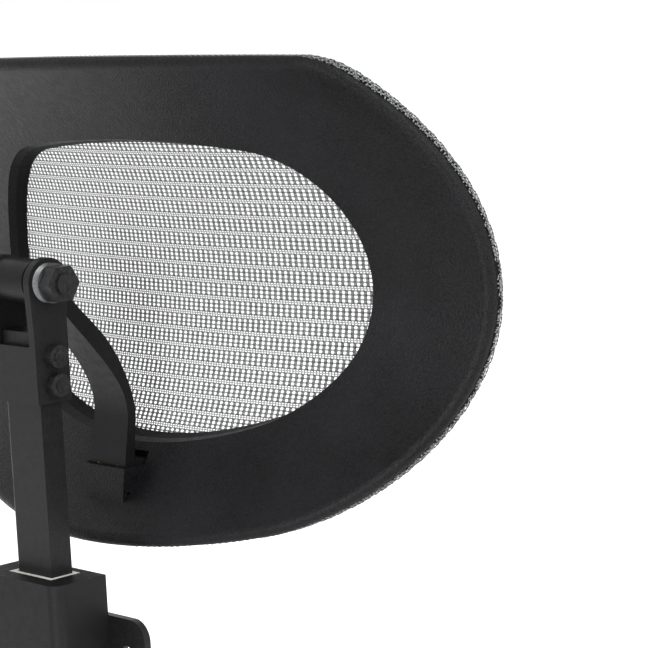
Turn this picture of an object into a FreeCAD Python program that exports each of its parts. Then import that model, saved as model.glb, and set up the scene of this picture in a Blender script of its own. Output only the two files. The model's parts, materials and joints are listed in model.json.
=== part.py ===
import FreeCAD, Part
import os
import re
import math
from FreeCAD import Vector, Rotation, Placement
import Sketcher

# Headrest attachment: a saddle-shaped mesh pad on a curved arm, a friction tilt hinge, and a
# height post that slides in a latched housing bolted to the back of a chair's top rail.
# Frame: origin at the centre of the bolt pattern on the mounting face, user side -Y, rear +Y, up +Z.

os.makedirs("parts", exist_ok=True)
doc = FreeCAD.newDocument("headrest")
sheet = doc.addObject("Spreadsheet::Sheet", "dims")

DIM = {}
ROW = [1]
WORD = re.compile(r"[A-Za-z_][A-Za-z_0-9]*")
probe = doc.addObject("Spreadsheet::Sheet", "probe")


def put_cell(alias, text, note):
    r = ROW[0]
    sheet.set("A%d" % r, note or alias)
    sheet.set("B%d" % r, text)
    sheet.setAlias("B%d" % r, alias)
    ROW[0] += 1


def cell(alias, value, note=""):
    put_cell(alias, repr(float(value)), note)
    DIM[alias] = float(value)


def val(e):
    """Number of an expression in the sheet's words."""
    if isinstance(e, (int, float)):
        return float(e)
    total = WORD.sub(lambda k: "(%r)" % DIM[k.group(0)] if k.group(0) in DIM else k.group(0), e)
    probe.set("Z1", "=" + total)
    doc.recompute([probe])
    return float(probe.get("Z1"))


def formula(alias, e, note=""):
    """A cell worked out from others."""
    put_cell(alias, "=" + e, note)
    DIM[alias] = val(e)


# pad: a patch of a torus, concave to the head from side to side, bulging to it from top to bottom
cell("pad_up", 156.0, "pad mid height over the bolt pattern")
cell("pad_back", -60.0, "pad middle surface, behind the mounting face")
cell("wrap_rad", 535.0, "side to side radius of the pad")
cell("bulge_rad", 128.0, "top to bottom radius of the pad")
cell("frame_thick", 5.0, "mesh carrier ring thickness")
cell("cover_thick", 3.8, "rear cover thickness")
cell("frame_in", -0.4, "carrier ring outline, outside the cover's")
cell("mesh_out", 0.6, "mesh wrap outline, outside the cover's")
cell("hole_draft", 10.0, "opening draft angle")
cell("edge_round", 3.2, "rear cover outer edge radius")
cell("mesh_thick", 0.9, "mesh thickness")
cell("frame_round", 2.6, "carrier ring front edge radius")
cell("welt_out", -7.3, "welt groove outer edge, outside the cover outline")
cell("welt_in", -10.9, "welt groove inner edge, outside the cover outline")
cell("welt_deep", 2.6, "welt groove depth")
cell("clip_rad", 3.0, "cover clip pin radius")
cell("clip_len", 4.4, "cover clip pin length")

# Two closed outlines of tangent arcs, mirrored about the middle: the rear cover's edge ("out"), and the
# opening where it crosses a plane 40 mm behind the pad's middle ("in"). Arc by arc from the bottom:
# bottom, lower side, upper side, upper corner, top.
for pre, numbers in (("out", (-97.6, 414.0, 65.4, 2.2, -2.75, 119.0, 41.0, 24.0, 4500.0)),
                     ("in", (-64.4, 254.3, 42.0, 30.0, -48.9, 52.2, 15.2, 56.6, 718.0))):
    for key, n, note in zip(("low", "low_r", "side_x", "side_z", "turn", "up_r", "turn_up", "corner_r", "top_r"), numbers,
                            ("bottom edge, from pad middle", "bottom arc radius", "lower side centre, across",
                             "lower side centre, up", "lower side ends at, degrees", "upper side radius",
                             "upper side ends at, degrees", "upper corner radius", "top arc radius")):
        cell("%s_%s" % (pre, key), n, "%s outline: %s" % (pre, note))

    def f(key, e, note=""):
        formula("%s_%s" % (pre, key), e.replace("@", pre + "_"), "%s outline: %s" % (pre, note or key))

    f("c1z", "@low + @low_r", "bottom arc centre")
    f("side_r", "@low_r - sqrt(@side_x ^ 2 + (@side_z - @c1z) ^ 2)", "lower side radius")
    f("n1x", "@side_x / (@low_r - @side_r)")
    f("n1z", "(@side_z - @c1z) / (@low_r - @side_r)")
    f("n2x", "cos(@turn * 1 deg)")
    f("n2z", "sin(@turn * 1 deg)")
    f("c3x", "@side_x - (@up_r - @side_r) * @n2x", "upper side centre, across")
    f("c3z", "@side_z - (@up_r - @side_r) * @n2z", "upper side centre, up")
    f("n3x", "cos(@turn_up * 1 deg)")
    f("n3z", "sin(@turn_up * 1 deg)")
    f("c4x", "@c3x + (@up_r - @corner_r) * @n3x", "corner centre, across")
    f("c4z", "@c3z + (@up_r - @corner_r) * @n3z", "corner centre, up")
    f("c5z", "@c4z - sqrt((@top_r - @corner_r) ^ 2 - @c4x ^ 2)", "top arc centre")
    f("n4x", "@c4x / (@top_r - @corner_r)")
    f("n4z", "(@c4z - @c5z) / (@top_r - @corner_r)")

# arm and its socket
cell("arm_half_low", 11.0, "arm half width at the socket")
cell("arm_half_top", 8.4, "arm half width near the hinge")
cell("socket_half", 13.7, "socket half width at the top")
cell("socket_half_low", 10.8, "socket half width at the bottom")
cell("socket_top", -69.5, "socket top edge, from pad middle")
cell("socket_low", -88.5, "socket lower tip, from pad middle")
cell("socket_face", 42.5, "socket rear face, from the pad middle surface")
cell("screw_rad", 1.95, "foot screw radius")
cell("insert_rad", 3.0, "threaded insert radius")

# tilt hinge
cell("hinge_back", 14.0, "hinge axis behind the mounting face")
cell("hinge_up", 164.0, "hinge axis height")
cell("barrel_rad", 8.6, "arm barrel radius")
cell("barrel_half", 9.0, "arm barrel half width")
cell("pin_rad", 4.0, "hinge pin radius")
cell("pin_gap", 0.05, "running clearance on the pin")
cell("bush_rad", 5.2, "hinge bush radius")
cell("flange_rad", 7.4, "hinge bush flange radius")
cell("cheek_in", 11.1, "bracket cheek inner face")
cell("cheek_thick", 3.4, "bracket cheek thickness")
cell("cheek_rad", 9.5, "bracket cheek top radius")

# post
cell("post_half", 11.0, "post half width")
cell("post_half_deep", 5.0, "post half depth")
cell("post_low", -110.4, "post lower end")
cell("post_top", 145.0, "post upper end")
cell("notch_pitch", 10.0, "height step")
cell("notch_deep", 3.4, "notch depth")
cell("notch_tall", 4.2, "notch height")
cell("stop_half", 13.6, "end stop half width")

# housing and mounting plate
cell("plate_half_wide", 45.0, "mounting plate half width")
cell("plate_half_tall", 34.0, "mounting plate half height")
cell("plate_thick", 3.0, "mounting plate thickness")
cell("bolt_x", 34.0, "bolt hole from the middle, across")
cell("bolt_z", 20.0, "bolt hole from the middle, up")
cell("bolt_hole_rad", 3.3, "bolt hole radius")
cell("house_half", 24.0, "housing half width")
cell("house_deep", 25.0, "housing depth")
cell("house_half_tall", 50.0, "housing half height")
cell("glide_gap", 0.15, "glide clearance on the post")
cell("glide_wall", 2.0, "glide wall")
cell("glide_tall", 12.0, "glide height")
cell("latch_thick", 3.0, "latch plate thickness")
cell("latch_throw", 4.0, "button travel")

def bind(obj, path, e):
    """Tie a property to the sheet; plain numbers are set directly by the caller."""
    if isinstance(e, str):
        obj.setExpression(path, WORD.sub(lambda k: "<<dims>>." + k.group(0) if k.group(0) in DIM else k.group(0), e))


def body(label):
    b = doc.addObject("PartDesign::Body", label)
    b.Label = label
    return b


def plane(b, role):
    for f in b.Origin.OriginFeatures:
        if f.Role == role:
            return f
    raise RuntimeError(role)


def sketch(b, role, off=0):
    """Sketch on an origin plane, moved along the plane's normal by off."""
    s = b.newObject("Sketcher::SketchObject", b.Name + "_sk")
    s.AttachmentSupport = [(plane(b, role), "")]
    s.MapMode = "FlatFace"
    s.AttachmentOffset = Placement(Vector(0, 0, val(off)), Rotation())
    bind(s, "AttachmentOffset.Base.z", off)
    return s


def dim(s, kind, *a):
    """Add one dimension; the last value is a number or an expression."""
    e = a[-1]
    i = s.addConstraint(Sketcher.Constraint(kind, *a[:-1], val(e)))
    if isinstance(e, str):
        name = "d%d" % i
        s.renameConstraint(i, name)
        bind(s, "Constraints." + name, e)
    return i


def rect(s, x0, x1, y0, y1):
    a, b2, c, d = val(x0), val(x1), val(y0), val(y1)
    n = s.GeometryCount
    pts = [(a, c), (b2, c), (b2, d), (a, d)]
    for i in range(4):
        p, q = pts[i], pts[(i + 1) % 4]
        s.addGeometry(Part.LineSegment(Vector(p[0], p[1], 0), Vector(q[0], q[1], 0)), False)
    for i in range(4):
        s.addConstraint(Sketcher.Constraint("Coincident", n + i, 2, n + (i + 1) % 4, 1))
    s.addConstraint(Sketcher.Constraint("Horizontal", n))
    s.addConstraint(Sketcher.Constraint("Vertical", n + 1))
    s.addConstraint(Sketcher.Constraint("Horizontal", n + 2))
    s.addConstraint(Sketcher.Constraint("Vertical", n + 3))
    dim(s, "DistanceX", -1, 1, n, 1, x0)
    dim(s, "DistanceX", -1, 1, n + 1, 1, x1)
    dim(s, "DistanceY", -1, 1, n, 1, y0)
    dim(s, "DistanceY", -1, 1, n + 2, 1, y1)


def circle(s, x, y, r):
    n = s.GeometryCount
    s.addGeometry(Part.Circle(Vector(val(x), val(y), 0), Vector(0, 0, 1), val(r)), False)
    dim(s, "Radius", n, r)
    dim(s, "DistanceX", -1, 1, n, 3, x)
    dim(s, "DistanceY", -1, 1, n, 3, y)


def chain(pre):
    """Arcs of the right half: centre, radius, unit normals at both ends."""
    D = {k[len(pre) + 1:]: v for k, v in DIM.items() if k.startswith(pre + "_")}
    n = [(0.0, -1.0), (D["n1x"], D["n1z"]), (D["n2x"], D["n2z"]), (D["n3x"], D["n3z"]), (D["n4x"], D["n4z"]), (0.0, 1.0)]
    c = [(0.0, D["c1z"]), (D["side_x"], D["side_z"]), (D["c3x"], D["c3z"]), (D["c4x"], D["c4z"]), (0.0, D["c5z"])]
    r = [D["low_r"], D["side_r"], D["up_r"], D["corner_r"], D["top_r"]]
    return [(c[i], r[i], n[i], n[i + 1]) for i in range(5)]


def from_outline(x, z, pre="out"):
    """Signed distance of a point from an outline, outside positive."""
    best = None
    x = abs(x)
    for (cx, cz), r, n0, n1 in chain(pre):
        v = (x - cx, z - cz)
        if n0[0] * v[1] - n0[1] * v[0] > -1e-6 and n1[0] * v[1] - n1[1] * v[0] < 1e-6:
            d = math.hypot(v[0], v[1]) - r
            if best is None or abs(d) < abs(best):
                best = d
    return 1e9 if best is None else best


def outline(s, pre, off):
    """The closed outline moved outwards by off: each arc is held by its two ends and its radius."""
    o = "(%s)" % off
    K = pre + "_"
    ends = [("%sn1x * (%slow_r + %s)" % (K, K, o), "%sc1z + %sn1z * (%slow_r + %s)" % (K, K, K, o)),
            ("%sside_x + %sn2x * (%sside_r + %s)" % (K, K, K, o), "%sside_z + %sn2z * (%sside_r + %s)" % (K, K, K, o)),
            ("%sc4x + %sn3x * (%scorner_r + %s)" % (K, K, K, o), "%sc4z + %sn3z * (%scorner_r + %s)" % (K, K, K, o)),
            ("%sn4x * (%stop_r + %s)" % (K, K, o), "%sc5z + %sn4z * (%stop_r + %s)" % (K, K, K, o))]
    radii = ["%s%s_r + %s" % (K, k, o) for k in ("low", "side", "up", "corner", "top")]
    right = [(x, z) for x, z in ends]
    left = [("0 - (%s)" % x, z) for x, z in reversed(ends)]
    pts = right + left
    # arcs between consecutive points, going round from the lower right
    arcs = [radii[1], radii[2], radii[3], radii[4], radii[3], radii[2], radii[1], radii[0]]
    side = chain(pre)
    cen = [side[1], side[2], side[3], side[4], side[3], side[2], side[1], side[0]]
    flip = [1, 1, 1, 1, -1, -1, -1, 1]
    n = s.GeometryCount
    num = [(val(a), val(b)) for a, b in pts]
    for i in range(8):
        c = Vector(cen[i][0][0] * flip[i], cen[i][0][1], 0)
        p, q = num[i], num[(i + 1) % 8]
        a = math.atan2(p[1] - c.y, p[0] - c.x)
        z = math.atan2(q[1] - c.y, q[0] - c.x)
        if z < a:
            z += 2 * math.pi
        s.addGeometry(Part.ArcOfCircle(Part.Circle(c, Vector(0, 0, 1), val(arcs[i])), a, z), False)
    for i in range(8):
        s.addConstraint(Sketcher.Constraint("Coincident", n + i, 2, n + (i + 1) % 8, 1))
    for i in range(8):
        dim(s, "Radius", n + i, arcs[i])
        dim(s, "DistanceX", -1, 1, n + i, 1, pts[i][0])
        dim(s, "DistanceY", -1, 1, n + i, 1, pts[i][1])


def path(s, segs, fix=True):
    """Closed outline of points; each corner is held by its two coordinates."""
    n = s.GeometryCount
    pts = [(val(p[0]), val(p[1])) for p in segs]
    k = len(pts)
    for i in range(k):
        p, q = pts[i], pts[(i + 1) % k]
        s.addGeometry(Part.LineSegment(Vector(p[0], p[1], 0), Vector(q[0], q[1], 0)), False)
    for i in range(k):
        s.addConstraint(Sketcher.Constraint("Coincident", n + i, 2, n + (i + 1) % k, 1))
    for i in range(k):
        dim(s, "DistanceX", -1, 1, n + i, 1, segs[i][0])
        dim(s, "DistanceY", -1, 1, n + i, 1, segs[i][1])


def pad(b, s, length, both=True, rev=False):
    f = b.newObject("PartDesign::Pad", b.Name + "_pad")
    f.Profile = s
    f.Length = val(length)
    bind(f, "Length", length)
    if both:
        f.SideType = "Symmetric"
    f.Reversed = rev
    doc.recompute()
    return f


def pocket(b, s, length=None, both=True, rev=False, taper=None):
    before = b.Shape.Volume
    f = b.newObject("PartDesign::Pocket", b.Name + "_cut")
    f.Profile = s
    if length is None:
        f.Type = "ThroughAll"
    else:
        f.Length = val(length)
        bind(f, "Length", length)
    if both:
        f.SideType = "Symmetric"
    f.Reversed = rev
    if taper is not None:
        f.TaperAngle = val(taper)
        bind(f, "TaperAngle", taper)
    doc.recompute()
    if not b.Shape.Volume < before - 1e-3:
        raise RuntimeError("pocket cut nothing in " + b.Label)
    return f


def put(o, x=0, y=0, z=0, rot=None):
    o.Placement = Placement(Vector(val(x), val(y), val(z)), rot or Rotation())
    for p, e in (("x", x), ("y", y), ("z", z)):
        bind(o, "Placement.Base." + p, e)
    return o


def box(label, x0, x1, y0, y1, z0, z1):
    o = doc.addObject("Part::Box", label)
    o.Label = label
    for prop, lo, hi in (("Length", x0, x1), ("Width", y0, y1), ("Height", z0, z1)):
        e = "(%s) - (%s)" % (hi, lo)
        setattr(o, prop, val(e))
        bind(o, prop, e)
    return put(o, x0, y0, z0)


AX = {"X": Rotation(Vector(0, 1, 0), 90), "Y": Rotation(Vector(1, 0, 0), -90), "Z": Rotation()}


def cyl(label, axis, r, length, x=0, y=0, z=0):
    """Cylinder from (x, y, z) running along +axis."""
    o = doc.addObject("Part::Cylinder", label)
    o.Label = label
    o.Radius = val(r)
    bind(o, "Radius", r)
    o.Height = val(length)
    bind(o, "Height", length)
    return put(o, x, y, z, AX[axis])


def cone(label, axis, r1, r2, length, x=0, y=0, z=0):
    o = doc.addObject("Part::Cone", label)
    o.Label = label
    o.Radius1 = val(r1)
    o.Radius2 = val(r2)
    o.Height = val(length)
    bind(o, "Radius1", r1)
    bind(o, "Radius2", r2)
    bind(o, "Height", length)
    return put(o, x, y, z, AX[axis])


def fuse(label, *objs):
    o = doc.addObject("Part::MultiFuse", label)
    o.Label = label
    o.Shapes = list(objs)
    o.Refine = True
    return o


def group(label, *objs):
    """Separate identical solids kept together in one node."""
    o = doc.addObject("Part::Compound", label)
    o.Label = label
    o.Links = list(objs)
    return o


def cut(label, base, tool):
    o = doc.addObject("Part::Cut", label)
    o.Label = label
    o.Base = base
    o.Tool = tool
    return o


def common(label, *objs):
    o = doc.addObject("Part::MultiCommon", label)
    o.Label = label
    o.Shapes = list(objs)
    return o


NODES = []


def node(o):
    NODES.append(o)
    return o


# ---------------------------------------------------------------- pad shells
# Local frame of every shell: z axis is the side to side wrap axis, y = wrap_rad is the pad's middle.


def shell(label, t0, t1, off, hole=False, hole_off=None):
    """Torus patch between depths t0 and t1 behind the mesh line, cut to the outline moved out by off."""
    b = body(label)
    s = sketch(b, "YZ_Plane")
    cx = "wrap_rad + bulge_rad"
    r0, r1 = "bulge_rad - (%s)" % t0, "bulge_rad - (%s)" % t1
    lo, hi = math.radians(180 - 57), math.radians(180 + 57)
    c = Vector(val(cx), 0, 0)
    s.addGeometry(Part.ArcOfCircle(Part.Circle(c, Vector(0, 0, 1), val(r0)), lo, hi), False)
    s.addGeometry(Part.ArcOfCircle(Part.Circle(c, Vector(0, 0, 1), val(r1)), lo, hi), False)

    def pt(r, a):
        return Vector(c.x + r * math.cos(a), r * math.sin(a), 0)

    s.addGeometry(Part.LineSegment(pt(val(r0), lo), pt(val(r1), lo)), False)
    s.addGeometry(Part.LineSegment(pt(val(r1), hi), pt(val(r0), hi)), False)
    s.addConstraint(Sketcher.Constraint("Coincident", 0, 1, 2, 1))
    s.addConstraint(Sketcher.Constraint("Coincident", 1, 1, 2, 2))
    s.addConstraint(Sketcher.Constraint("Coincident", 1, 2, 3, 1))
    s.addConstraint(Sketcher.Constraint("Coincident", 0, 2, 3, 2))
    s.addConstraint(Sketcher.Constraint("Coincident", 0, 3, 1, 3))
    dim(s, "DistanceX", -1, 1, 0, 3, cx)
    s.addConstraint(Sketcher.Constraint("PointOnObject", 0, 3, -1))
    dim(s, "Radius", 0, r0)
    dim(s, "Radius", 1, r1)
    s.addConstraint(Sketcher.Constraint("DistanceY", -1, 1, 0, 1, val(r0) * math.sin(lo)))
    s.addConstraint(Sketcher.Constraint("DistanceY", 0, 2, -1, 1, -val(r0) * math.sin(hi)))
    s.addConstraint(Sketcher.Constraint("DistanceY", -1, 1, 1, 1, val(r1) * math.sin(lo)))
    s.addConstraint(Sketcher.Constraint("DistanceY", 1, 2, -1, 1, -val(r1) * math.sin(hi)))
    rv = b.newObject("PartDesign::Revolution", label + "_rev")
    rv.Profile = s
    rv.ReferenceAxis = (s, ["V_Axis"])
    rv.Angle = 44
    rv.Midplane = True
    doc.recompute()
    s = sketch(b, "XZ_Plane", "-(wrap_rad + 100)")
    rect(s, -260, 260, -180, 180)
    outline(s, "out", off)
    pocket(b, s, 240, both=False, rev=True)
    if hole:
        s = sketch(b, "XZ_Plane", "-(wrap_rad + %d)" % (40 if hole_off is None else 80))
        if hole_off is None:
            outline(s, "in", "0")
            pocket(b, s, 110, both=False, rev=True, taper="-hole_draft")
        else:
            outline(s, "out", hole_off)
            pocket(b, s, 160, both=False, rev=True)
    put(b, 0, "pad_back - wrap_rad", "pad_up")
    return b


# mesh carrier ring
frame_raw = shell("frame_raw", 0, "frame_thick", "frame_in", hole=True)
# rear cover with a rounded outer edge
cover_raw = shell("cover_raw", "frame_thick + 0.02", "frame_thick + cover_thick", "0", hole=True)


def depth(v):
    """Distance behind the mesh line."""
    rr = math.hypot(v.x, v.y)
    return DIM["bulge_rad"] - math.hypot(rr - DIM["wrap_rad"] - DIM["bulge_rad"], v.z)


def round_edge(b, t, off, size):
    tip = b.Tip
    inv = b.Placement.inverse()
    names = []
    for i, e in enumerate(tip.Shape.Edges):
        a, z = e.ParameterRange
        pts = [e.valueAt(a + (z - a) * k / 4.0) for k in range(5)]
        pts = [p - Vector(0, 0, 0) for p in pts]
        if all(abs(from_outline(p.x, p.z) - off) < 0.05 and abs(depth(p) - t) < 0.05 for p in pts):
            names.append("Edge%d" % (i + 1))
    if not names:
        raise RuntimeError("no outer edge on " + b.Label)
    f = b.newObject("PartDesign::Fillet", b.Name + "_round")
    f.Base = (tip, names)
    f.Radius = val(size)
    bind(f, "Radius", size)
    doc.recompute()
    return f


round_edge(cover_raw, DIM["frame_thick"] + DIM["cover_thick"], 0, "edge_round")
# the ring's front edge is rounded so the mesh turns over it without a crease
round_edge(frame_raw, 0, DIM["frame_in"], "frame_round")

# mesh: a thin shell in front that wraps round the ring's outer edge
mesh_block = shell("mesh_block", "-mesh_thick", "frame_thick - 0.3", "mesh_out")
round_edge(mesh_block, -DIM["mesh_thick"], DIM["mesh_out"], "frame_round + mesh_thick")
mesh_core = shell("mesh_core", 0, "frame_thick + 2", "frame_in + 0.1")
round_edge(mesh_core, 0, DIM["frame_in"] + 0.1, "frame_round")
node(cut("mesh_panel", mesh_block, mesh_core))

# welt that holds the mesh edge in the ring's groove
welt_block = shell("welt_block", "frame_thick - welt_deep", "frame_thick - 0.1", "welt_out", hole=True, hole_off="welt_in")
node(welt_block).Label = "mesh_welt"
groove = shell("groove_tool", "frame_thick - welt_deep", "frame_thick + 2", "welt_out + 0.05", hole=True,
               hole_off="welt_in - 0.05")


def spot(x, z, t):
    """Point at depth t behind the mesh line over the outline point (x, z), and the outward normal there."""
    R, B = DIM["wrap_rad"], DIM["bulge_rad"]
    ry = B - t
    rr = R + B - math.sqrt(ry * ry - z * z)
    y = math.sqrt(rr * rr - x * x)
    ang = math.asin(z / ry)
    n = Vector(math.cos(ang) * x / rr, math.cos(ang) * y / rr, -math.sin(ang))
    p = Vector(x, DIM["pad_back"] - R + y, DIM["pad_up"] + z)
    return p, n


# push-fit clips that pin the rear cover to the ring
CLIPS = []
for i, (x, z) in enumerate([(-64, 74), (0, 74), (64, 74), (-128, 40), (128, 40), (-128, -40), (128, -40),
                            (-64, -74), (-28, -74), (28, -74), (64, -74)]):
    p, n = spot(x, z, 2.4)
    # the normal leans from the user side to the rear
    c = doc.addObject("Part::Cylinder", "clip_%d" % i)
    c.Radius = val("clip_rad")
    bind(c, "Radius", "clip_rad")
    c.Height = val("clip_len")
    bind(c, "Height", "clip_len")
    c.Placement = Placement(p, Rotation(Vector(0, 0, 1), n))
    CLIPS.append(c)
clips = node(group("cover_clips", *CLIPS))
clip_tool = fuse("clip_tool", *CLIPS)


# ---------------------------------------------------------------- arm
def Y(e):
    return "pad_back + (%s)" % e


def Z(e):
    return "pad_up + (%s)" % e


arm = body("arm_body")
s = sketch(arm, "YZ_Plane")
# side outline: straight tongue in the socket, a knee, then a sweep back and up to the hinge barrel
rear = [(39.4, -80.0), (39.2, -66.0), (37.6, -57.0), (36.2, -48.0), (38.4, -38.0), (43.2, -29.5), (50.8, -19.5), (58.6, -10.6)]
front = [(61.5, 3.6), (54.0, -6.0), (44.8, -15.8), (38.0, -26.4), (34.0, -37.6), (32.2, -48.4), (33.4, -57.0), (34.4, -66.0), (34.6, -80.0)]


def spline(pts):
    c = Part.BSplineCurve()
    c.interpolate([Vector(DIM["pad_back"] + a, DIM["pad_up"] + z, 0) for a, z in pts])
    return c


n = s.GeometryCount
s.addGeometry(spline(rear), False)
s.addGeometry(Part.LineSegment(Vector(DIM["pad_back"] + 58.6, DIM["pad_up"] - 10.6, 0),
                               Vector(DIM["hinge_back"], DIM["hinge_up"], 0)), False)
s.addGeometry(Part.LineSegment(Vector(DIM["hinge_back"], DIM["hinge_up"], 0),
                               Vector(DIM["pad_back"] + 61.5, DIM["pad_up"] + 3.6, 0)), False)
s.addGeometry(spline(front), False)
s.addGeometry(Part.LineSegment(Vector(DIM["pad_back"] + 34.6, DIM["pad_up"] - 80.0, 0),
                               Vector(DIM["pad_back"] + 39.4, DIM["pad_up"] - 80.0, 0)), False)
for i in range(5):
    s.addConstraint(Sketcher.Constraint("Coincident", n + i, 2, n + (i + 1) % 5, 1))
dim(s, "DistanceX", -1, 1, n + 1, 2, "hinge_back")
dim(s, "DistanceY", -1, 1, n + 1, 2, "hinge_up")
dim(s, "DistanceX", -1, 1, n, 1, Y("39.4"))
dim(s, "DistanceY", -1, 1, n, 1, Z("0 - 80.0"))
dim(s, "DistanceX", -1, 1, n + 3, 2, Y("34.6"))
dim(s, "DistanceY", -1, 1, n + 3, 2, Z("0 - 80.0"))
dim(s, "DistanceX", -1, 1, n, 2, Y("58.6"))
dim(s, "DistanceY", -1, 1, n, 2, Z("0 - 10.6"))
dim(s, "DistanceX", -1, 1, n + 3, 1, Y("61.5"))
dim(s, "DistanceY", -1, 1, n + 3, 1, Z("3.6"))
pad(arm, s, "2 * arm_half_low")
# the sides close in towards the hinge
for k in (1, -1):
    s = sketch(arm, "XZ_Plane", "-(pad_back + 20)")
    pts = [(k * 30, "pad_up - 90"), (k * 30, "pad_up + 30"), ("%d * arm_half_top" % k, "pad_up + 30"),
           ("%d * arm_half_top" % k, "pad_up - 22"), ("%d * (arm_half_low * 0.55 + arm_half_top * 0.45)" % k, "pad_up - 38"),
           ("%d * arm_half_low" % k, "pad_up - 60"), ("%d * arm_half_low" % k, "pad_up - 90")]
    path(s, pts)
    pocket(arm, s, 120, both=False, rev=False)
# hinge barrel and its bore
s = sketch(arm, "YZ_Plane")
circle(s, "hinge_back", "hinge_up", "barrel_rad")
pad(arm, s, "2 * barrel_half")
s = sketch(arm, "YZ_Plane")
circle(s, "hinge_back", "hinge_up", "bush_rad + 0.01")
pocket(arm, s, 60)

# foot screws into brass inserts, driven from under the mesh
SCREWS, SCREW_TOOLS, INSERTS, INSERT_TOOLS = [], [], [], []
for i, k in enumerate((-1, 1)):
    x = "%d * 6.0" % k
    z = Z("0 - 72")
    a = cyl("foot_head_%d" % i, "Y", 3.2, 1.6, x, Y("24.8"), z)
    b = cyl("foot_shank_%d" % i, "Y", "screw_rad", 13.8, x, Y("25.0"), z)
    SCREWS.append(fuse("foot_screw_%d" % i, a, b))
    a = cyl("foot_recess_%d" % i, "Y", 3.3, 8.4, x, Y("18.0"), z)
    b = cyl("foot_way_%d" % i, "Y", "screw_rad + 0.1", 14.0, x, Y("25.0"), z)
    SCREW_TOOLS += [a, b]
    a = cyl("insert_out_%d" % i, "Y", "insert_rad", 4.5, x, Y("34.7"), z)
    b = cyl("insert_in_%d" % i, "Y", "screw_rad + 0.05", 6, x, Y("34.0"), z)
    INSERTS.append(cut("insert_%d" % i, a, b))
    INSERT_TOOLS.append(cyl("insert_way_%d" % i, "Y", "insert_rad + 0.01", 10, x, Y("34.0"), z))
node(group("foot_screws", *SCREWS))
node(group("foot_inserts", *INSERTS))
node(cut("support_arm", arm, fuse("insert_ways", *INSERT_TOOLS)))

# socket on the rear cover: a tapering shield with an open top pocket
shield = body("shield_body")
s = sketch(shield, "XZ_Plane", "-(pad_back + socket_face)")
path(s, [("-socket_half_low", Z("socket_low")), ("socket_half_low", Z("socket_low")),
         ("socket_half", Z("socket_top")), ("-socket_half", Z("socket_top"))])
pad(shield, s, 22, both=False, rev=False)
pocket_tool = box("pocket_tool", "-(arm_half_low + 1.2)", "arm_half_low + 1.2", Y("22.0"), Y("socket_face - 2.2"),
                  Z("0 - 81.0"), Z("socket_top + 4.5"))
ring_core = shell("ring_core", -40, "frame_thick", "frame_in")
shield_cut = cut("shield_cut", shield, ring_core)
cover_all = fuse("cover_all", cover_raw, shield_cut)
cover_tools = fuse("cover_tools", pocket_tool, clip_tool)
node(cut("rear_cover", cover_all, cover_tools))
foot_tool = box("foot_tool", "-(arm_half_low + 0.1)", "arm_half_low + 0.1", Y("34.5"), Y("44"), Z("0 - 80.1"), Z("0 - 60"))
# boss on the ring that the arm's foot is drawn against
boss_block = box("boss_block", -10.8, 10.8, Y("22"), Y("34.4"), Z("0 - 80.0"), Z("0 - 67.6"))
boss = cut("foot_boss", boss_block, shell("boss_front", -40, 1.0, "frame_in"))
frame_all = fuse("frame_all", frame_raw, boss)
node(cut("front_frame", frame_all, fuse("frame_tools", groove, clip_tool, foot_tool, *SCREW_TOOLS)))

# ---------------------------------------------------------------- hinge
BUSH = []
for i, k in enumerate((-1, 1)):
    a = cyl("bush_sleeve_%d" % i, "X", "bush_rad", 7.0, "barrel_half - 7" if k > 0 else "-barrel_half", "hinge_back", "hinge_up")
    b = cyl("bush_flange_%d" % i, "X", "flange_rad", 1.0, "barrel_half" if k > 0 else "-barrel_half - 1", "hinge_back", "hinge_up")
    c = cyl("bush_bore_%d" % i, "X", "pin_rad + pin_gap", 12, 0 if k > 0 else -12, "hinge_back", "hinge_up")
    BUSH.append(cut("bush_%d" % i, fuse("bush_solid_%d" % i, a, b), c))
node(group("hinge_bushes", *BUSH))

# bracket: a U channel on the post's top, two rounded cheeks and a rear web
cheek = body("cheek_body")
s = sketch(cheek, "YZ_Plane")
path(s, [("hinge_back - 7.5", "hinge_up - 46"), ("hinge_back + post_half_deep + 3.4", "hinge_up - 46"),
         ("hinge_back + post_half_deep + 3.4", "hinge_up - 20"), ("hinge_back + cheek_rad", "hinge_up"),
         ("hinge_back - cheek_rad", "hinge_up"), ("hinge_back - 7.5", "hinge_up - 14")])
pad(cheek, s, "2 * (cheek_in + cheek_thick)")
s = sketch(cheek, "YZ_Plane")
circle(s, "hinge_back", "hinge_up", "cheek_rad")
pad(cheek, s, "2 * (cheek_in + cheek_thick)")
s = sketch(cheek, "XZ_Plane", 40)
rect(s, "-cheek_in", "cheek_in", "hinge_up - 24", "hinge_up + 20")
pocket(cheek, s, 120, both=False)
s = sketch(cheek, "XZ_Plane", 40)
rect(s, "-cheek_in", "cheek_in", "hinge_up - 60", "hinge_up - 23")
pocket(cheek, s, "40 + hinge_back + post_half_deep + 0.1", both=False)
s = sketch(cheek, "YZ_Plane")
circle(s, "hinge_back", "hinge_up", "pin_rad + 0.02")
pocket(cheek, s, 80)
s = sketch(cheek, "YZ_Plane")
circle(s, "hinge_back", "hinge_up - 28", 2.5)
circle(s, "hinge_back", "hinge_up - 39", 2.5)
pocket(cheek, s, 80)
node(cheek).Label = "hinge_bracket"

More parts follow.
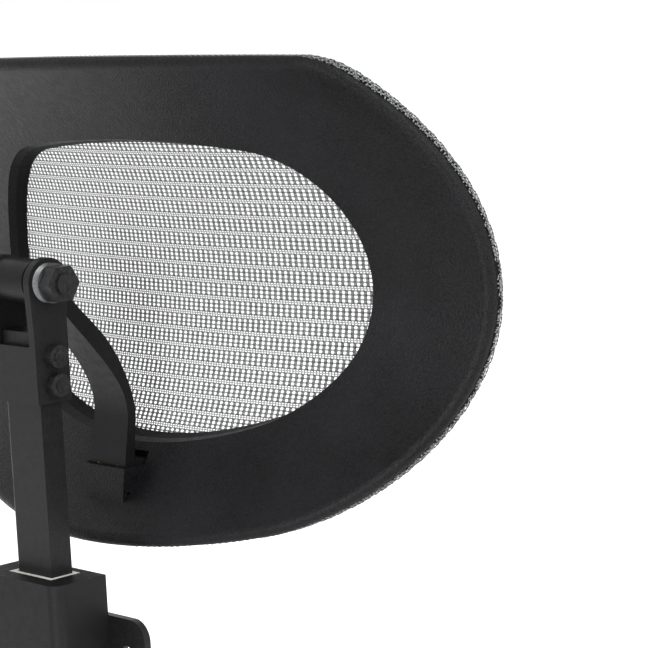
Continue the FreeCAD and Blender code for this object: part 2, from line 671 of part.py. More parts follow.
outer = "cheek_in + cheek_thick"
a = cyl("pin_shank", "X", "pin_rad", "2 * (cheek_in + cheek_thick) + 11", "-(cheek_in + cheek_thick) - 11", "hinge_back", "hinge_up")
b = cyl("pin_head", "X", 6.5, 3, outer, "hinge_back", "hinge_up")
node(fuse("hinge_pin", a, b))
WASH = []
for i, k in enumerate((-1, 1)):
    x0 = "barrel_half + 1.05" if k > 0 else "-barrel_half - 2.0"
    a = cyl("wash_out_%d" % i, "X", 8.2, 0.95, x0, "hinge_back", "hinge_up")
    b = cyl("wash_in_%d" % i, "X", "pin_rad + 0.02", 3, "barrel_half" if k > 0 else "-barrel_half - 3", "hinge_back", "hinge_up")
    WASH.append(cut("wash_%d" % i, a, b))
node(group("friction_washers", *WASH))
# cone spring washers keep the hinge stiff
DISC = []
for i in range(2):
    x0 = "-(cheek_in + cheek_thick) - %s" % (1.7 + 1.7 * i)
    a = cone("disc_out_%d" % i, "X", 7.6 if i else 5.2, 5.2 if i else 7.6, 1.7, x0, "hinge_back", "hinge_up")
    b = cyl("disc_in_%d" % i, "X", "pin_rad + 0.02", 4, "-(cheek_in + cheek_thick) - %s" % (2.8 + 1.7 * i), "hinge_back", "hinge_up")
    DISC.append(cut("disc_%d" % i, a, b))
node(group("disc_springs", *DISC))
nut = body("nut_body")
s = sketch(nut, "YZ_Plane", "-(cheek_in + cheek_thick) - 9.6")
R6 = 13.0 / math.sqrt(3)
hexp = [("hinge_back + %.4f" % (R6 * math.cos(math.radians(60 * i))), "hinge_up + %.4f" % (R6 * math.sin(math.radians(60 * i)))) for i in range(6)]
path(s, hexp)
pad(nut, s, 6.2, both=False)
s = sketch(nut, "YZ_Plane")
circle(s, "hinge_back", "hinge_up", "pin_rad + 0.02")
pocket(nut, s, 90)
node(nut).Label = "hinge_nut"

# cross bolts that hold the bracket on the post
BOLTS, NUTS = [], []
for i, dz in enumerate((28, 39)):
    zc = "hinge_up - %d" % dz
    a = cyl("xb_shank_%d" % i, "X", 2.45, "2 * (cheek_in + cheek_thick) + 4.4", "-(cheek_in + cheek_thick) - 4.4", "hinge_back", zc)
    b = cyl("xb_head_%d" % i, "X", 4.4, 2.8, outer, "hinge_back", zc)
    c = cyl("xb_drive_%d" % i, "X", 1.6, 3, outer + " + 1.2", "hinge_back", zc)
    BOLTS.append(cut("xbolt_%d" % i, fuse("xb_%d" % i, a, b), c))
    a = cyl("xn_out_%d" % i, "X", 4.4, 4.0, "-(cheek_in + cheek_thick) - 4.0", "hinge_back", zc)
    b = cyl("xn_in_%d" % i, "X", 2.5, 6, "-(cheek_in + cheek_thick) - 5", "hinge_back", zc)
    NUTS.append(cut("xnut_%d" % i, a, b))
node(group("bracket_bolts", *BOLTS))
node(group("bracket_nuts", *NUTS))

# ---------------------------------------------------------------- post
post = body("post_body")
s = sketch(post, "XZ_Plane", "-hinge_back")
rect(s, "-post_half", "post_half", "post_low", "post_top")
pad(post, s, "2 * post_half_deep")
tip = post.Tip
names = []
for i, e in enumerate(tip.Shape.Edges):
    p, q = e.Vertexes[0].Point, e.Vertexes[-1].Point
    if abs(p.x - q.x) < 1e-6 and abs(p.y - q.y) < 1e-6 and p.x > 0:
        names.append("Edge%d" % (i + 1))
f = post.newObject("PartDesign::Fillet", "post_round")
f.Base = (tip, names)
f.Radius = 2.0
doc.recompute()
# one notch, then its copies down the bar
s = sketch(post, "XZ_Plane", "-hinge_back")
rect(s, "-post_half - 2", "-post_half + notch_deep", "-notch_tall / 2", "notch_tall / 2")
first = pocket(post, s, 30)
pat = post.newObject("PartDesign::LinearPattern", "notches")
pat.Originals = [first]
pat.Direction = (plane(post, "Z_Axis"), [""])
pat.Reversed = True
pat.Length = val("6 * notch_pitch")
bind(pat, "Length", "6 * notch_pitch")
pat.Occurrences = 7
post.Tip = pat
doc.recompute()
s = sketch(post, "YZ_Plane")
circle(s, "hinge_back", "hinge_up - 28", 2.5)
circle(s, "hinge_back", "hinge_up - 39", 2.5)
pocket(post, s, 60)
s = sketch(post, "XY_Plane", "post_low")
circle(s, 0, "hinge_back", 2.0)
pocket(post, s, 14, both=False, rev=True)
node(post).Label = "post_bar"
a = box("stop_block", "-stop_half", "stop_half", "hinge_back - 6.6", "hinge_back + 6.6", "post_low - 5", "post_low")
b = cyl("stop_hole", "Z", 2.3, 12, 0, "hinge_back", "post_low - 8")
node(cut("post_stop", a, b))
a = cyl("stop_shank", "Z", 1.98, 16, 0, "hinge_back", "post_low - 5")
b = cyl("stop_head", "Z", 3.8, 2.6, 0, "hinge_back", "post_low - 7.6")
node(fuse("stop_screw", a, b))

# ---------------------------------------------------------------- housing
FRONT = "plate_thick"
house = body("house_body")
s = sketch(house, "XY_Plane")
rect(s, "-house_half", "house_half", "plate_thick", "plate_thick + house_deep")
pad(house, s, "2 * house_half_tall")
tip = house.Tip
names = []
for i, e in enumerate(tip.Shape.Edges):
    p, q = e.Vertexes[0].Point, e.Vertexes[-1].Point
    if abs(p.x - q.x) < 1e-6 and abs(p.y - q.y) < 1e-6 and p.y > 10:
        names.append("Edge%d" % (i + 1))
f = house.newObject("PartDesign::Fillet", "house_round")
f.Base = (tip, names)
f.Radius = 5.0
doc.recompute()
# way for the post, wider than the glides' bores
s = sketch(house, "XY_Plane")
rect(s, "-post_half - 0.8", "post_half + 0.8", "hinge_back - post_half_deep - 0.8", "hinge_back + post_half_deep + 0.8")
pocket(house, s, 240)
# seats for the two glides
for k in (1, -1):
    s = sketch(house, "XY_Plane", "%d * house_half_tall" % k)
    g = "glide_gap + glide_wall + 0.02"
    rect(s, "-post_half - (%s)" % g, "post_half + (%s)" % g, "hinge_back - post_half_deep - (%s)" % g, "hinge_back + post_half_deep + (%s)" % g)
    pocket(house, s, "glide_tall", both=False, rev=(k < 0))
# slot for the latch plate
s = sketch(house, "YZ_Plane")
rect(s, "hinge_back - 9.2", "hinge_back + 9.2", "-latch_thick / 2 - 0.3", "latch_thick / 2 + 0.3")
pocket(house, s, "2 * (house_half - 2.5)")
# button way on the +X side, spring bore on the -X side
s = sketch(house, "YZ_Plane")
rect(s, "hinge_back - 5.4", "hinge_back + 5.4", -5.4, 5.4)
pocket(house, s, 60, both=False, rev=True)
s = sketch(house, "YZ_Plane", "-14")
circle(s, "hinge_back", 0, 3.4)
pocket(house, s, 30, both=False, rev=False)
house.Label = "house_raw"
PLATE_SCREW, PLATE_WAY = [], []
for i, (sx, sz) in enumerate(((-1, -1), (1, -1), (-1, 1), (1, 1))):
    x, z = "%d * 18.8" % sx, "%d * 26" % sz
    a = cone("ps_head_%d" % i, "Y", 3.8, 2.0, 1.9, x, 0.15, z)
    b = cyl("ps_shank_%d" % i, "Y", 1.95, 15.8, x, 0.2, z)
    PLATE_SCREW.append(fuse("ps_%d" % i, a, b))
    a = cone("pw_head_%d" % i, "Y", 3.95, 2.05, 2.05, x, 0, z)
    b = cyl("pw_shank_%d" % i, "Y", 2.0, 16.2, x, 0, z)
    PLATE_WAY.append(fuse("pw_%d" % i, a, b))
node(group("housing_screws", *PLATE_SCREW))
ways = fuse("plate_ways", *PLATE_WAY)
node(cut("slide_housing", house, ways))

plate = body("plate_body")
s = sketch(plate, "XZ_Plane")
rect(s, "-plate_half_wide", "plate_half_wide", "-plate_half_tall", "plate_half_tall")
pad(plate, s, "plate_thick", both=False, rev=True)
tip = plate.Tip
names = []
for i, e in enumerate(tip.Shape.Edges):
    p, q = e.Vertexes[0].Point, e.Vertexes[-1].Point
    if abs(p.x - q.x) < 1e-6 and abs(p.z - q.z) < 1e-6:
        names.append("Edge%d" % (i + 1))
f = plate.newObject("PartDesign::Fillet", "plate_round")
f.Base = (tip, names)
f.Radius = 8.0
doc.recompute()
s = sketch(plate, "XZ_Plane")
for sx in (-1, 1):
    for sz in (-1, 1):
        circle(s, "%d * bolt_x" % sx, "%d * bolt_z" % sz, "bolt_hole_rad")
pocket(plate, s, 30)
node(cut("mount_plate", plate, ways))

for k, label in ((1, "glide_top"), (-1, "glide_bottom")):
    g = body(label + "_body")
    off = "house_half_tall - glide_tall + 0.05" if k > 0 else "-house_half_tall + 0.0"
    s = sketch(g, "XY_Plane", off)
    w = "glide_gap + glide_wall"
    rect(s, "-post_half - (%s)" % w, "post_half + (%s)" % w, "hinge_back - post_half_deep - (%s)" % w, "hinge_back + post_half_deep + (%s)" % w)
    rect(s, "-post_half - glide_gap", "post_half + glide_gap", "hinge_back - post_half_deep - glide_gap", "hinge_back + post_half_deep + glide_gap")
    pad(g, s, "glide_tall - 0.05", both=False)
    node(g).Label = label

# ---------------------------------------------------------------- latch
latch = body("latch_body")
s = sketch(latch, "XY_Plane")
rect(s, "-post_half - 3.5", "post_half + 10.5", "hinge_back - 8.9", "hinge_back + 8.9")
rect(s, "-post_half + notch_deep - 0.5", "post_half + latch_throw + 1.2", "hinge_back - post_half_deep - 0.6", "hinge_back + post_half_deep + 0.6")
pad(latch, s, "latch_thick")
node(latch).Label = "latch_plate"
a = box("button_neck", "post_half + 10.55", "house_half + latch_throw + 0.5", "hinge_back - 4.9", "hinge_back + 4.9", -4.9, 4.9)
b = box("button_head", "house_half + latch_throw + 0.4", "house_half + latch_throw + 5.4", "hinge_back - 7", "hinge_back + 7", -8, 8)
c = fuse("button_raw", a, b)
doc.recompute()
d = doc.addObject("Part::Fillet", "button_soft")
d.Base = b
edges = []
for i, e in enumerate(b.Shape.Edges):
    m = e.valueAt(sum(e.ParameterRange) / 2)
    if m.x > DIM["house_half"] + DIM["latch_throw"] + 2:
        edges.append((i + 1, 1.6, 1.6))
d.Edges = edges
doc.recompute()
doc.removeObject("button_raw")
node(fuse("release_button", a, d))
# return spring: two coils drawn as closed rings on a thin tube
x0 = -21.4
SP = [cyl("spring_tube_o", "X", 2.2, 6.7, x0, "hinge_back", 0)]
tube = cut("spring_tube", SP[0], cyl("spring_tube_i", "X", 1.5, 9, x0 - 1, "hinge_back", 0))
node(tube).Label = "latch_spring"
a = cyl("plug_flange", "X", 4.6, 1.2, "-house_half - 1.2", "hinge_back", 0)
b = cyl("plug_body", "X", 3.35, 2.4, "-house_half", "hinge_back", 0)
node(fuse("spring_plug", a, b))

doc.recompute()
for o in doc.Objects:
    if "Invalid" in o.State or "Error" in o.State:
        raise RuntimeError("failed object %s %s" % (o.Label, o.State))
seen = set()
for o in NODES:
    sh = o.Shape
    if sh.isNull() or not sh.isValid():
        raise RuntimeError("bad shape " + o.Label)
    if o.Label in seen:
        raise RuntimeError("label twice " + o.Label)
    seen.add(o.Label)
for o in NODES:
    bb = o.Shape.optimalBoundingBox(False)
    print("%-18s solids %d vol %10.1f  x %7.1f %7.1f  y %7.1f %7.1f  z %7.1f %7.1f" % (
        o.Label, len(o.Shape.Solids), o.Shape.Volume, bb.XMin, bb.XMax, bb.YMin, bb.YMax, bb.ZMin, bb.ZMax))
    o.Shape.exportStep("parts/%s.step" % o.Label)
print(len(NODES), "nodes")
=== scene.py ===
import bpy
import json
import math
import numpy as np
from mathutils import Matrix, Vector


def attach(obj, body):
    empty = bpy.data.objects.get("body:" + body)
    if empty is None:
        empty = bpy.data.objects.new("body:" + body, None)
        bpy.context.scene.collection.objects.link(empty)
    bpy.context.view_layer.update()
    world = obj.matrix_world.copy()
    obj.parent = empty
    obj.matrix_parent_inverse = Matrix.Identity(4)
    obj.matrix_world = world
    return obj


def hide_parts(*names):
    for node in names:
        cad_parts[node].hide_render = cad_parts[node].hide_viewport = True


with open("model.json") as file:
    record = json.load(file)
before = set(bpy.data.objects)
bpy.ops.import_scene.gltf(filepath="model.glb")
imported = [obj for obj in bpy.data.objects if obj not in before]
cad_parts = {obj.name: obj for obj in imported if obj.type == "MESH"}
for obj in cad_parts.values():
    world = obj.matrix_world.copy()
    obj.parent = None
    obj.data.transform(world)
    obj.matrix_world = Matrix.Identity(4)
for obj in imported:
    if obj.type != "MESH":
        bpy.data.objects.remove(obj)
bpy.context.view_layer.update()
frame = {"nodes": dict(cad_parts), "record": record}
N = frame["nodes"]

# ------------------------------------------------------------------ pad surface, in metres
PAD_UP, PAD_BACK = 0.156, -0.060
WRAP, BULGE = 0.535, 0.128
FRAME_T = 0.005
OFF = 0.00045          # the fabric's middle stands this far off the ring
ROUND = 0.0031         # the fabric's radius over the ring's front edge


def arcs(low, low_r, sx, sz, turn, up_r, turn_up, cr, top_r):
    """Right half of an outline of tangent arcs from the bottom up: centre, radius, end normals."""
    c1 = np.array([0.0, low + low_r])
    c2 = np.array([sx, sz])
    r2 = low_r - np.linalg.norm(c2 - c1)
    n2 = np.array([math.cos(math.radians(turn)), math.sin(math.radians(turn))])
    c3 = c2 - (up_r - r2) * n2
    n3 = np.array([math.cos(math.radians(turn_up)), math.sin(math.radians(turn_up))])
    c4 = c3 + (up_r - cr) * n3
    c5 = np.array([0.0, c4[1] - math.sqrt((top_r - cr) ** 2 - c4[0] ** 2)])
    n = [np.array([0.0, -1.0]), (c2 - c1) / (low_r - r2), n2, n3, (c4 - c5) / (top_r - cr), np.array([0.0, 1.0])]
    return [(c, r * 1e-3, a, b) for c, r, a, b in zip([c * 1e-3 for c in (c1, c2, c3, c4, c5)], [low_r, r2, up_r, cr, top_r], n[:-1], n[1:])]


OUT = arcs(-97.6, 414.0, 65.4, 2.2, -2.75, 119.0, 41.0, 24.0, 4500.0)
RING = -0.0004         # the ring's edge, outside the cover's


def edge(x, z):
    """Signed distance from the ring's outline and the outward normal there."""
    ax = np.abs(x)
    best = np.full(x.shape, -1.0)
    nx, nz = np.zeros(x.shape), np.ones(x.shape)
    for (cx, cz), r, a, b in OUT:
        vx, vz = ax - cx, z - cz
        inside = (a[0] * vz - a[1] * vx > -1e-9) & (b[0] * vz - b[1] * vx < 1e-9)
        m = np.maximum(np.hypot(vx, vz), 1e-9)
        d = m - r - RING
        take = inside & (d > best)
        best = np.where(take, d, best)
        nx = np.where(take, vx / m, nx)
        nz = np.where(take, vz / m, nz)
    return best, nx * np.where(x < 0, -1.0, 1.0), nz


def ysurf(x, z, t):
    """y of the pad surface at depth t behind the mesh line; z counts from the pad's middle."""
    ry = BULGE - t
    rr = WRAP + BULGE - np.sqrt(np.maximum(ry * ry - z * z, 1e-9))
    return np.sqrt(np.maximum(rr * rr - x * x, 1e-9)) - WRAP + PAD_BACK


def fabric(s, v, h):
    """Flat cloth (s across, v up, h off the cloth towards the user) to space, wrapped over the ring's edge.
    Also gives how much cloth is left before the rear cover takes it in (negative: hidden)."""
    x = WRAP * np.sin(s / WRAP)
    z = BULGE * np.sin(np.clip(v / BULGE, -1.5, 1.5))
    far, nx, nz = edge(x, z)
    sd = far - OFF
    ox, oz = x - nx * sd, z - nz * sd
    e = 1e-5
    slope = (ysurf(ox, oz, -OFF) - ysurf(ox - nx * e, oz - nz * e, -OFF)) / e
    al = np.arctan(slope)
    q = ROUND * (1 - np.sin(al))
    y0 = ysurf(x, z, -OFF - h)
    # beyond the start of the rounding: distance along the cloth
    d = np.maximum(sd + q, 0.0) / np.cos(al)
    arc = ROUND * (math.pi / 2 - al)
    ph = al + np.minimum(d, arc) / ROUND
    run = np.maximum(d - arc, 0.0)
    ys = ysurf(ox - nx * q, oz - nz * q, -OFF)
    inpl = -q + ROUND * (np.sin(ph) - np.sin(al)) + h * np.sin(ph)
    yy = ys + ROUND * (np.cos(al) - np.cos(ph)) + run - h * np.cos(ph)
    over = sd + q > 0
    end = ysurf(ox, oz, FRAME_T) - 0.0002
    left = np.where(over, end - (ys + ROUND * (np.cos(al) - np.cos(ph)) + run), 1.0)
    X = np.where(over, ox + nx * inpl, x)
    Y = np.where(over, yy, y0)
    Z = np.where(over, oz + nz * inpl, z)
    return np.stack([X, Y, Z + PAD_UP], -1), left


def bend(s, v):
    """0 on the open face of the cloth, 1 where it goes over the ring's edge and is pulled thin."""
    far, _, _ = edge(WRAP * np.sin(s / WRAP), BULGE * np.sin(np.clip(v / BULGE, -1.5, 1.5)))
    return np.clip((far - OFF + 0.0045) / 0.002, 0.0, 1.0)


# ------------------------------------------------------------------ woven mesh
COL, ROW = 0.00290, 0.00165
GROUP = 4 * ROW
VERTS, QUADS, DARK = [], [], []
count = 0


def tubes(s, v, h, rs, rv, rh, dark, half=False):
    """Chains of rings in cloth space. s, v, h, r*: (tubes, rings). A ring's vertex is offset by rs or rv in the cloth
    and rh off it. half draws only the arched rear side of a flat yarn. Rings that the cover hides are left out."""
    global count
    s, v, h, rs, rv, rh, dark = np.broadcast_arrays(s, v, h, rs, rv, rh, dark)
    pull = bend(s, v)
    rs, rv, dark = rs * (1 - 0.20 * pull), rv * (1 - 0.20 * pull), dark * (1 - 0.15 * pull) + 0.18 * pull
    sides = 3 if half else 4
    a = -np.arange(3) * math.pi / 2 if half else np.arange(4) * math.pi / 2
    S = s[..., None] + rs[..., None] * np.cos(a)
    V = v[..., None] + rv[..., None] * np.cos(a)
    H = h[..., None] + rh[..., None] * np.sin(a)
    P, left = fabric(S, V, H)
    ok = left.min(-1) > 0
    n, m = s.shape
    idx = np.arange(n * m * sides).reshape(n, m, sides)
    A, B = idx[:, :-1, :], idx[:, 1:, :]
    q = np.stack([A, np.roll(A, -1, 2), np.roll(B, -1, 2), B], -1)
    keep = (ok[:, :-1] & ok[:, 1:])[..., None].repeat(sides, 2)
    if half:
        keep[..., -1] = False
    q = q[keep]
    used = np.unique(q)
    back = np.full(n * m * sides, -1)
    back[used] = np.arange(len(used)) + count
    VERTS.append(P.reshape(-1, 3)[used])
    QUADS.append(back[q])
    DARK.append(np.repeat(dark.reshape(-1), sides)[used])
    count += len(used)


half_cols = int(0.178 / COL)
groups = range(-19, 19)
mm = 0.001
rng = np.random.default_rng(7)
for g in groups:
    v0 = g * GROUP
    shift = 0.5 * (g % 2)
    cols = (np.arange(-half_cols, half_cols + 1) + shift) * COL
    # upright yarns between two dense rows: narrow beside the holes, gathered at each cross row
    vv = np.array([0.80, 1.05, 1.65, 2.475, 3.30, 4.125, 4.95, 5.55, 5.80]) * mm + v0
    ww = np.array([0.96, 0.92, 0.68, 0.90, 0.68, 0.90, 0.68, 0.92, 0.96]) * mm
    tt = np.array([0.22, 0.28, 0.22, 0.32, 0.22, 0.32, 0.22, 0.28, 0.22]) * mm
    # painted shade: the upright yarns are drawn about half dark along their length, as if seen from their shadowed
    # side; fully dark where they gather at each cross row
    dk = np.array([1.0, 0.95, 0.45, 1.0, 0.45, 1.0, 0.45, 0.95, 1.0])
    n = len(cols)
    jit = rng.normal(0, 0.035 * mm, (n, 1)) + rng.normal(0, 0.02 * mm, (n, 9))
    tubes(cols[:, None] + jit, vv[None, :], 0.0, ww[None, :] * (1 + rng.normal(0, 0.04, (n, 9))), 0.0, tt[None, :],
          np.clip(dk[None, :] + rng.normal(0, 0.08, (n, 9)), 0, 1))
    # flat cross yarns that pass over and under them
    fine = np.arange(-2 * half_cols, 2 * half_cols + 3) * (COL / 2)
    over = np.arange(len(fine)) % 2 == int(2 * shift) % 2
    for k, vr in enumerate((0.88, 2.475, 4.125, 5.72)):
        lift = np.where(over, -0.30 * mm if k % 2 else 0.10 * mm, 0.0)
        tubes(fine[None, :], v0 + vr * mm, lift[None, :], 0.0, np.where(over, 0.27, 0.32)[None, :] * mm, 0.14 * mm,
              np.where(over, 0.95, 0.30)[None, :], half=True)
    # dense row: short leaning stitches at half the pitch on a carrying yarn
    st = np.arange(-2 * half_cols, 2 * half_cols + 2) * (COL / 2) + COL * 0.25
    vs = np.array([-0.66, 0.0, 0.66]) * mm + v0
    lean = np.array([-0.14, 0.0, 0.14]) * mm
    m = len(st)
    tubes(st[:, None] + lean[None, :] + rng.normal(0, 0.03 * mm, (m, 1)), vs[None, :], 0.0,
          np.array([0.26, 0.38, 0.26])[None, :] * mm, 0.0, np.array([0.14, 0.26, 0.14])[None, :] * mm,
          np.array([0.68, 0.26, 0.68])[None, :], half=True)
    tubes(fine[None, :], v0 + 0.0, 0.0, 0.0, 0.20 * mm, 0.12 * mm, 0.45, half=True)

V = np.concatenate(VERTS)
Q = np.concatenate(QUADS)
D = np.concatenate(DARK)
me = bpy.data.meshes.new("mesh_weave")
me.vertices.add(len(V))
me.vertices.foreach_set("co", V.astype(np.float32).ravel())
me.loops.add(Q.size)
me.loops.foreach_set("vertex_index", Q.astype(np.int32).ravel())
me.polygons.add(len(Q))
me.polygons.foreach_set("loop_start", np.arange(0, Q.size, 4, dtype=np.int32))
me.polygons.foreach_set("use_smooth", np.ones(len(Q), bool))
# per-vertex darkness of the yarns, including the painted shade of the upright yarns
at = me.attributes.new("knot_and_shade", "FLOAT", "POINT")
at.data.foreach_set("value", D.astype(np.float32))
me.update(calc_edges=True)
me.validate()
weave = bpy.data.objects.new("mesh_weave", me)
bpy.context.scene.collection.objects.link(weave)
print("weave faces", len(Q), "verts", len(V))


# ------------------------------------------------------------------ materials
def new_mat(name):
    m = bpy.data.materials.new(name)
    m.use_nodes = True
    nt = m.node_tree
    b = nt.nodes["Principled BSDF"]
    return m, nt, b


def node(nt, kind, **kw):
    n = nt.nodes.new(kind)
    for k, v in kw.items():
        if k in n.inputs:
            n.inputs[k].default_value = v
        else:
            setattr(n, k, v)
    return n


def ramp(nt, src, pts):
    r = nt.nodes.new("ShaderNodeValToRGB")
    els = r.color_ramp.elements
    while len(els) < len(pts):
        els.new(0.5)
    for e, (p, c) in zip(els, pts):
        e.position = p
        e.color = (c[0], c[1], c[2], 1)
    nt.links.new(src, r.inputs["Fac"])
    return r.outputs["Color"]


def remap(nt, src, a, b, lo=0.0, hi=1.0):
    n = nt.nodes.new("ShaderNodeMapRange")
    n.inputs["From Min"].default_value = lo
    n.inputs["From Max"].default_value = hi
    n.inputs["To Min"].default_value = a
    n.inputs["To Max"].default_value = b
    nt.links.new(src, n.inputs["Value"])
    return n.outputs["Result"]


def coords(nt):
    return nt.nodes.new("ShaderNodeTexCoord").outputs["Object"]


def noise(nt, co, scale, detail=3.0, rough=0.55):
    n = node(nt, "ShaderNodeTexNoise", Scale=scale, Detail=detail, Roughness=rough)
    nt.links.new(co, n.inputs["Vector"])
    return n.outputs["Fac"]


def bump(nt, b, height, strength, distance, prev=None):
    n = node(nt, "ShaderNodeBump", Strength=strength, Distance=distance)
    nt.links.new(height, n.inputs["Height"])
    if prev is not None:
        nt.links.new(prev, n.inputs["Normal"])
    nt.links.new(n.outputs["Normal"], b.inputs["Normal"])
    return n.outputs["Normal"]


def plastic(name, dark, light, rough=(0.42, 0.58), grain=2600.0, grain_mm=0.035, strength=0.5, spec=0.5):
    m, nt, b = new_mat(name)
    co = coords(nt)
    broad = noise(nt, co, 18.0, 4.0)
    fine = noise(nt, co, grain, 2.0, 0.6)
    mix = nt.nodes.new("ShaderNodeMath")
    mix.operation = "MULTIPLY_ADD"
    nt.links.new(remap(nt, fine, 0.0, 1.0, 0.3, 0.7), mix.inputs[0])
    mix.inputs[1].default_value = 0.62
    nt.links.new(remap(nt, broad, 0.0, 0.38, 0.3, 0.7), mix.inputs[2])
    nt.links.new(ramp(nt, mix.outputs[0], [(0.1, dark), (0.9, light)]), b.inputs["Base Color"])
    nt.links.new(remap(nt, noise(nt, co, 340.0, 3.0), rough[0], rough[1], 0.3, 0.7), b.inputs["Roughness"])
    b.inputs["Specular IOR Level"].default_value = spec
    vor = node(nt, "ShaderNodeTexVoronoi", Scale=grain * 0.8)
    nt.links.new(co, vor.inputs["Vector"])
    first = bump(nt, b, vor.outputs["Distance"], strength, grain_mm * 0.001)
    bump(nt, b, fine, strength, grain_mm * 0.0015, first)
    return m


def metal(name, dark, light, rough=(0.25, 0.45), metallic=1.0, stretch=(1, 1, 12), scale=900.0, spec=0.5):
    m, nt, b = new_mat(name)
    mp = node(nt, "ShaderNodeMapping")
    mp.inputs["Scale"].default_value = stretch
    nt.links.new(coords(nt), mp.inputs["Vector"])
    f = noise(nt, mp.outputs["Vector"], scale, 3.0)
    nt.links.new(ramp(nt, f, [(0.3, dark), (0.7, light)]), b.inputs["Base Color"])
    nt.links.new(remap(nt, noise(nt, coords(nt), 260.0), rough[0], rough[1], 0.3, 0.7), b.inputs["Roughness"])
    b.inputs["Metallic"].default_value = metallic
    b.inputs["Specular IOR Level"].default_value = spec
    bump(nt, b, f, 0.25, 0.00002)
    return m


shell = plastic("shell_plastic", (0.0006, 0.0006, 0.0007), (0.0100, 0.0100, 0.0113), rough=(0.36, 0.46), grain=1500, grain_mm=0.16, strength=0.8, spec=0.105)
ring = plastic("frame_plastic", (0.0015, 0.0015, 0.0016), (0.0060, 0.0060, 0.0064), rough=(0.5, 0.65), grain=1500, grain_mm=0.03, spec=0.08)
armp = plastic("arm_plastic", (0.0012, 0.0012, 0.0013), (0.0060, 0.0060, 0.0064), rough=(0.34, 0.46), grain=1900, grain_mm=0.04, strength=0.5, spec=0.13)
house = plastic("black_plastic", (0.002, 0.002, 0.0022), (0.009, 0.009, 0.0097), rough=(0.42, 0.56), grain=2000, grain_mm=0.04, spec=0.13)
white = plastic("white_plastic", (0.42, 0.41, 0.39), (0.52, 0.51, 0.48), rough=(0.35, 0.5), grain=1800, grain_mm=0.015, strength=0.3)
powder = metal("painted_steel", (0.003, 0.003, 0.0032), (0.009, 0.009, 0.0093), rough=(0.32, 0.44), metallic=0.0, stretch=(1, 1, 1), scale=1500.0, spec=0.15)
oxide = metal("black_steel", (0.015, 0.015, 0.016), (0.035, 0.035, 0.037), rough=(0.3, 0.5), metallic=0.8, stretch=(1, 1, 1), scale=700.0)
zinc = metal("zinc_steel", (0.09, 0.093, 0.096), (0.15, 0.152, 0.155), rough=(0.34, 0.5), stretch=(1, 1, 6), scale=600.0)
brass = metal("brass_insert", (0.60, 0.43, 0.18), (0.74, 0.56, 0.27), rough=(0.22, 0.35), stretch=(1, 8, 1), scale=600.0)

# yarn: light grey thread with a fine twist, mixed towards near-black by the per-vertex darkness, which holds the
# darker gathered crossings and the painted shade of the upright yarns
yarn, nt, b = new_mat("mesh_fabric")
co = coords(nt)
kn = node(nt, "ShaderNodeAttribute", attribute_name="knot_and_shade")
tw = node(nt, "ShaderNodeTexWave", Scale=1300.0, Distortion=3.0, Detail=2.0)
tw.bands_direction = "DIAGONAL"
nt.links.new(co, tw.inputs["Vector"])
light = ramp(nt, noise(nt, co, 900.0, 3.0), [(0.3, (0.28, 0.288, 0.29)), (0.7, (0.40, 0.408, 0.405))])
mx = node(nt, "ShaderNodeMix", data_type="RGBA", blend_type="MIX")
nt.links.new(remap(nt, kn.outputs["Fac"], 0.0, 0.97), mx.inputs[0])
nt.links.new(light, mx.inputs[6])
mx.inputs[7].default_value = (0.010, 0.0108, 0.0116, 1)
nt.links.new(mx.outputs[2], b.inputs["Base Color"])
nt.links.new(remap(nt, tw.outputs["Fac"], 0.55, 0.8), b.inputs["Roughness"])
b.inputs["Specular IOR Level"].default_value = 0.3
b.inputs["Sheen Weight"].default_value = 0.15
bump(nt, b, tw.outputs["Fac"], 0.5, 0.00006)

SLOT = {"shell_plastic": shell, "frame_plastic": ring, "arm_plastic": armp, "black_plastic": house, "white_plastic": white,
        "painted_steel": powder, "black_steel": oxide, "zinc_steel": zinc, "brass_insert": brass, "mesh_fabric": yarn}
for sp in frame["record"]["subparts"]:
    ob = N[sp["node"]]
    mat = SLOT[sp["material_slot"]]
    if not ob.material_slots:
        ob.data.materials.append(mat)
    for ms in ob.material_slots:
        ms.material = mat
me.materials.append(yarn)

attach(weave, "pad")
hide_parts("mesh_panel")

# ------------------------------------------------------------------ stage, light, camera
sc = bpy.context.scene
fm = bpy.data.meshes.new("floor")
fm.from_pydata([(-60, -60, -0.17), (60, -60, -0.17), (60, 60, -0.17), (-60, 60, -0.17)], [], [(0, 1, 2, 3)])
floor = bpy.data.objects.new("floor", fm)
sc.collection.objects.link(floor)
flm, nt, b = new_mat("floor_pale")
co = coords(nt)
nt.links.new(ramp(nt, noise(nt, co, 3.0), [(0.3, (0.955, 0.955, 0.955)), (0.7, (0.975, 0.975, 0.975))]), b.inputs["Base Color"])
b.inputs["Roughness"].default_value = 0.7
b.inputs["Specular IOR Level"].default_value = 0.2
fm.materials.append(flm)

world = bpy.data.worlds.new("studio")
sc.world = world
world.use_nodes = True
wt = world.node_tree
bg = wt.nodes["Background"]
bg.inputs["Strength"].default_value = 1.0
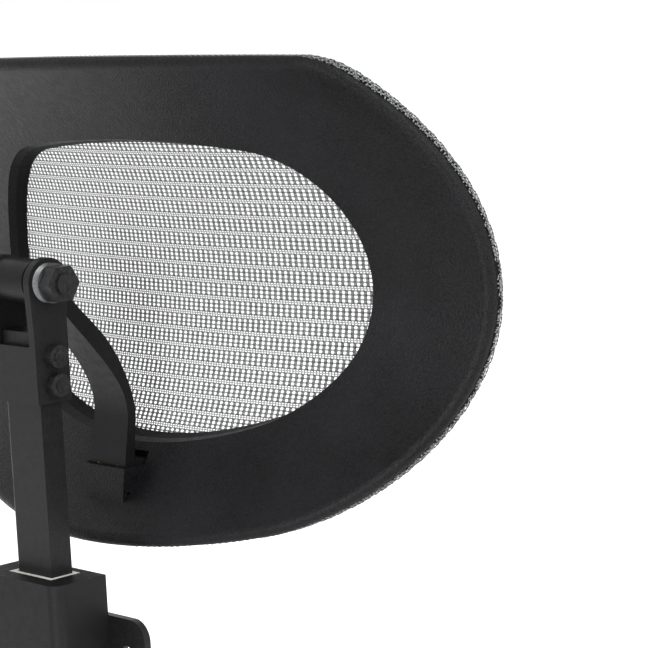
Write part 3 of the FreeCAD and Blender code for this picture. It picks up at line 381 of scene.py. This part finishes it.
# soft even room, a little brighter from the side of the large window light
wd = wt.nodes.new("ShaderNodeTexCoord")
dot = wt.nodes.new("ShaderNodeVectorMath")
dot.operation = "DOT_PRODUCT"
wt.links.new(wd.outputs["Generated"], dot.inputs[0])
dot.inputs[1].default_value = Vector((-0.92, 0.25, 0.30)).normalized()
wr = wt.nodes.new("ShaderNodeMapRange")
wr.interpolation_type = "SMOOTHSTEP"
wr.inputs["From Min"].default_value = -0.2
wr.inputs["From Max"].default_value = 1.0
wr.inputs["To Min"].default_value = 1.0
wr.inputs["To Max"].default_value = 1.60
wt.links.new(dot.outputs["Value"], wr.inputs["Value"])
wt.links.new(wr.outputs["Result"], bg.inputs["Color"])


def area(name, loc, target, size, power, spread=180):
    l = bpy.data.lights.new(name, "AREA")
    l.shape = "RECTANGLE"
    l.size, l.size_y = size
    l.energy = power
    o = bpy.data.objects.new(name, l)
    o.location = loc
    o.rotation_euler = (Vector(target) - Vector(loc)).to_track_quat("-Z", "Y").to_euler()
    sc.collection.objects.link(o)


area("top_soft", (-0.7, 0.2, 1.5), (0, -0.05, 0.15), (0.8, 0.8), 5)
area("edge_right", (-1.6, -0.1, 1.05), (-0.1, -0.05, 0.15), (0.5, 0.9), 19)
area("rear_soft", (-0.8, 1.9, 0.22), (-0.1, -0.05, 0.15), (0.7, 1.2), 33)
area("front_fill", (0.4, -1.8, 0.9), (0, -0.05, 0.15), (1.6, 1.2), 10)

# camera: behind and to the side of the pad, a little above it, long lens
YAW, EL, ROLL, FPX = math.radians(46.3), math.radians(8.04), math.radians(-2.89), 2500.0
CAM = Vector((-0.7637, 0.5873, 0.2754))
d = Vector((-math.sin(YAW) * math.cos(EL), math.cos(YAW) * math.cos(EL), math.sin(EL)))
right = Vector((-math.cos(YAW), -math.sin(YAW), 0))
up = d.cross(right)
r2 = math.cos(ROLL) * right + math.sin(ROLL) * up
u2 = -math.sin(ROLL) * right + math.cos(ROLL) * up
cd = bpy.data.cameras.new("photo_view")
cd.sensor_width = 36.0
cd.sensor_fit = "HORIZONTAL"
cd.lens = FPX / 648.0 * 36.0
cd.clip_start, cd.clip_end = 0.01, 50
cam = bpy.data.objects.new("photo_view", cd)
cam.matrix_world = Matrix(((r2.x, u2.x, d.x, CAM.x), (r2.y, u2.y, d.y, CAM.y), (r2.z, u2.z, d.z, CAM.z), (0, 0, 0, 1)))
sc.collection.objects.link(cam)
sc.camera = cam
sc.view_settings.view_transform = "Standard"
sc.view_settings.look = "None"
sc.view_settings.exposure = 0.0
sc.view_settings.gamma = 1.0
